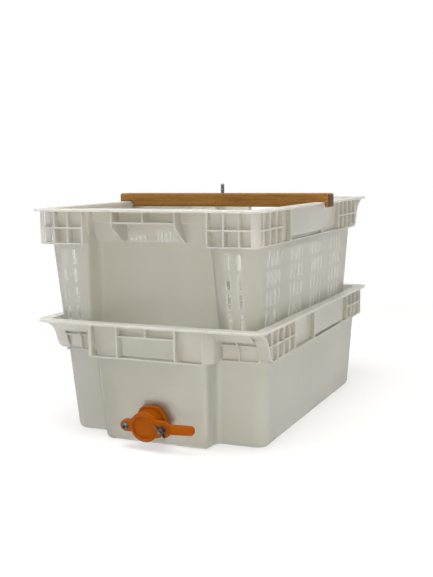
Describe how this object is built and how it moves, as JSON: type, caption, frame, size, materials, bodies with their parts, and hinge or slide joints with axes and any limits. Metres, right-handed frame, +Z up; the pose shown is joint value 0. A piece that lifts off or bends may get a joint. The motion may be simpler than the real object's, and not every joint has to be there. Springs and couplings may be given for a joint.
{
  "type": "uncapping tank",
  "caption": "Uncapping tank: a slotted crate standing in a closed crate with an orange lever honey gate, and a notched wooden frame bar with a spike across the rim.",
  "frame": {"origin": "middle of the lower crate's base, on the surface it stands on", "axes": "+Z up, +Y along the crates away from the honey gate, +X to the right as seen from the gate's side"},
  "size_m": [0.4146, 0.615, 0.414],
  "materials": {
    "natural_pp": "natural polypropylene, as moulded, translucent white",
    "orange_plastic": "orange nylon, as moulded",
    "oiled_wood": "planed hardwood, oiled",
    "zinc_steel": "zinc-plated steel",
    "black_rubber": "moulded black rubber"
  },
  "bodies": {
    "tank": {"lower_crate": "natural_pp", "gate_body": "orange_plastic", "gate_locknut": "orange_plastic", "outer_seal": "black_rubber", "inner_seal": "black_rubber", "face_ring": "black_rubber", "pivot_screw": "zinc_steel", "pivot_nut": "zinc_steel", "pivot_washer": "zinc_steel", "clamp_bolt": "zinc_steel", "clamp_washer": "zinc_steel"},
    "upper": {"upper_crate": "natural_pp"},
    "bar": {"frame_bar": "oiled_wood", "frame_spike": "zinc_steel"},
    "flap": {"gate_flap": "orange_plastic"},
    "wing": {"wing_nut": "zinc_steel"}
  },
  "joints": [
    {"name": "upper_lift", "type": "slide", "parent": "tank", "child": "upper", "axis": [0, 0, 1], "range_m": [0, 0.15]},
    {"name": "bar_slide", "type": "slide", "parent": "upper", "child": "bar", "axis": [0, 1, 0], "range_m": [-0.2, 0.17]},
    {"name": "flap_hinge", "type": "hinge", "parent": "tank", "child": "flap", "pos_m": [-0.033, -0.29728, 0.03926], "axis": [0, -0.9945, -0.1045], "range_deg": [0, 95]},
    {"name": "wing_turn", "type": "hinge", "parent": "tank", "child": "wing", "pos_m": [0.033, -0.30822, 0.03811], "axis": [0, -0.9945, -0.1045], "range_deg": [0, 720]}
  ]
}
